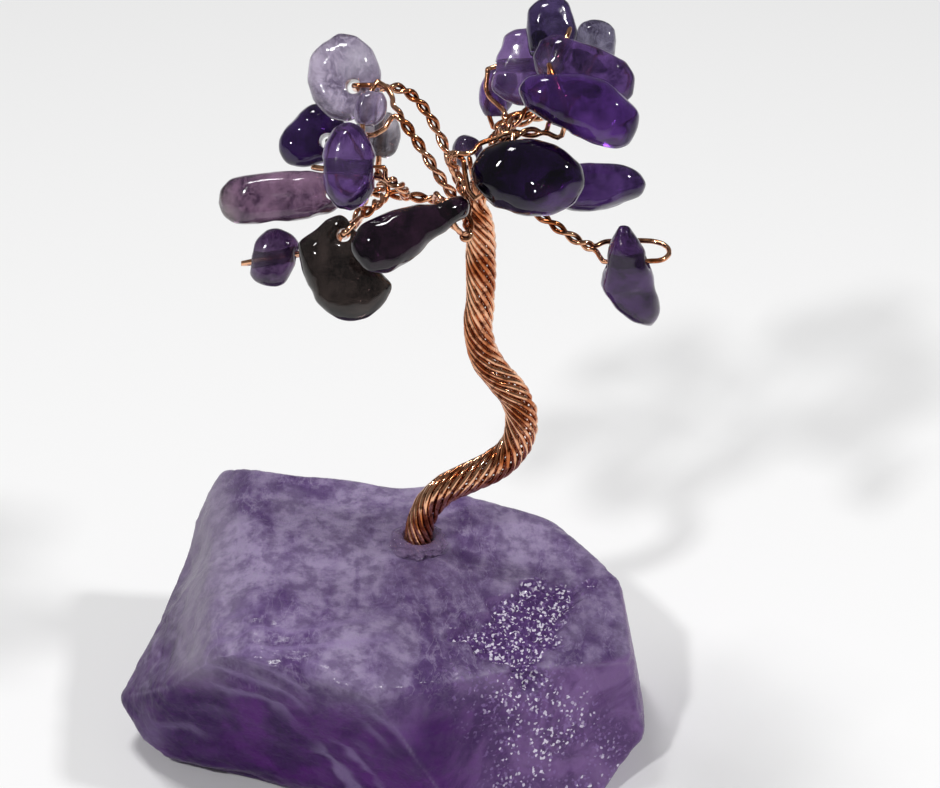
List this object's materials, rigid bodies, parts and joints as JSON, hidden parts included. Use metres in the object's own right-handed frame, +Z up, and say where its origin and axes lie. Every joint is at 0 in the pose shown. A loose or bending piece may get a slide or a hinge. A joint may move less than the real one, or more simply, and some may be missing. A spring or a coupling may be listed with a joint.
{
  "type": "gemstone tree ornament",
  "caption": "Small wire tree ornament: twisted copper trunk and limbs carrying polished amethyst chips, glued upright in a rough amethyst block.",
  "frame": {"origin": "middle of the flat that the block rests on", "axes": "+Z up along the trunk; +X to the viewer's right and +Y away from the side that the tree is dressed to be seen from"},
  "size_m": [0.0333, 0.0242, 0.0467],
  "materials": {
    "amethyst_block": "polished faces with druzy patches",
    "clear_glue": "clear and glossy",
    "lilac_grey": "tumbled and polished, translucent",
    "mid_violet": "tumbled and polished, translucent",
    "rose_violet": "tumbled and polished, translucent",
    "smoky_grey": "tumbled and polished, translucent",
    "dark_violet": "tumbled and polished, translucent",
    "copper_wire": "bright bare copper"
  },
  "bodies": {
    "wired_tree": {"base_stone": "amethyst_block", "glue_bead": "clear_glue", "left_front_wire": "copper_wire", "left_rear_wire": "copper_wire", "left_low_wire": "copper_wire", "right_low_wire": "copper_wire", "right_high_wire": "copper_wire", "right_front_wire": "copper_wire", "core_wire": "copper_wire", "grey_lilac_chip": "lilac_grey", "violet_oval_chip": "mid_violet", "rose_rod_chip": "rose_violet", "lilac_shard_chip": "lilac_grey", "plum_chip": "dark_violet", "violet_sliver_chip": "mid_violet", "violet_slab_chip": "mid_violet", "royal_purple_chip": "mid_violet", "large_front_chip": "dark_violet", "big_dark_chip": "dark_violet", "long_violet_chip": "mid_violet", "grey_back_chip": "lilac_grey"},
    "hanging_violet_pendant": {"hanging_violet_chip": "dark_violet"},
    "pale_lilac_turning": {"pale_lilac_chip": "lilac_grey"},
    "lens_lilac_turning": {"lens_lilac_chip": "lilac_grey"},
    "deep_violet_turning": {"deep_violet_chip": "dark_violet"},
    "smoky_turning": {"smoky_chip": "smoky_grey"},
    "indigo_top_turning": {"indigo_top_chip": "dark_violet"},
    "grey_violet_turning": {"grey_violet_chip": "lilac_grey"}
  },
  "joints": [
    {"name": "hanging_violet_swing", "type": "hinge", "parent": "wired_tree", "child": "hanging_violet_pendant", "pos_m": [0.01384, -0.00094, 0.03534], "axis": [1, 0, 0], "range_deg": [-25, 25]},
    {"name": "pale_lilac_turn", "type": "hinge", "parent": "wired_tree", "child": "pale_lilac_turning", "pos_m": [-0.00128, 0.00546, 0.043], "axis": [0, -0.8192, 0.5736], "range_deg": [-12, 12]},
    {"name": "lens_lilac_turn", "type": "hinge", "parent": "wired_tree", "child": "lens_lilac_turning", "pos_m": [-0.00033, 0.00298, 0.04306], "axis": [0.2588, 0.554, 0.7912], "range_deg": [-12, 12]},
    {"name": "deep_violet_turn", "type": "hinge", "parent": "wired_tree", "child": "deep_violet_turning", "pos_m": [-0.00298, 0.00802, 0.03784], "axis": [0, -0.8192, 0.5736], "range_deg": [-12, 12]},
    {"name": "smoky_turn", "type": "hinge", "parent": "wired_tree", "child": "smoky_turning", "pos_m": [-0.00179, -0.00048, 0.03674], "axis": [0, -0.8192, 0.5736], "range_deg": [-12, 12]},
    {"name": "indigo_top_turn", "type": "hinge", "parent": "wired_tree", "child": "indigo_top_turning", "pos_m": [0.01007, 0.00822, 0.04417], "axis": [0, -0.8192, 0.5736], "range_deg": [-12, 12]},
    {"name": "grey_violet_turn", "type": "hinge", "parent": "wired_tree", "child": "grey_violet_turning", "pos_m": [0.01238, 0.01013, 0.04237], "axis": [0, -0.8192, 0.5736], "range_deg": [-12, 12]}
  ]
}
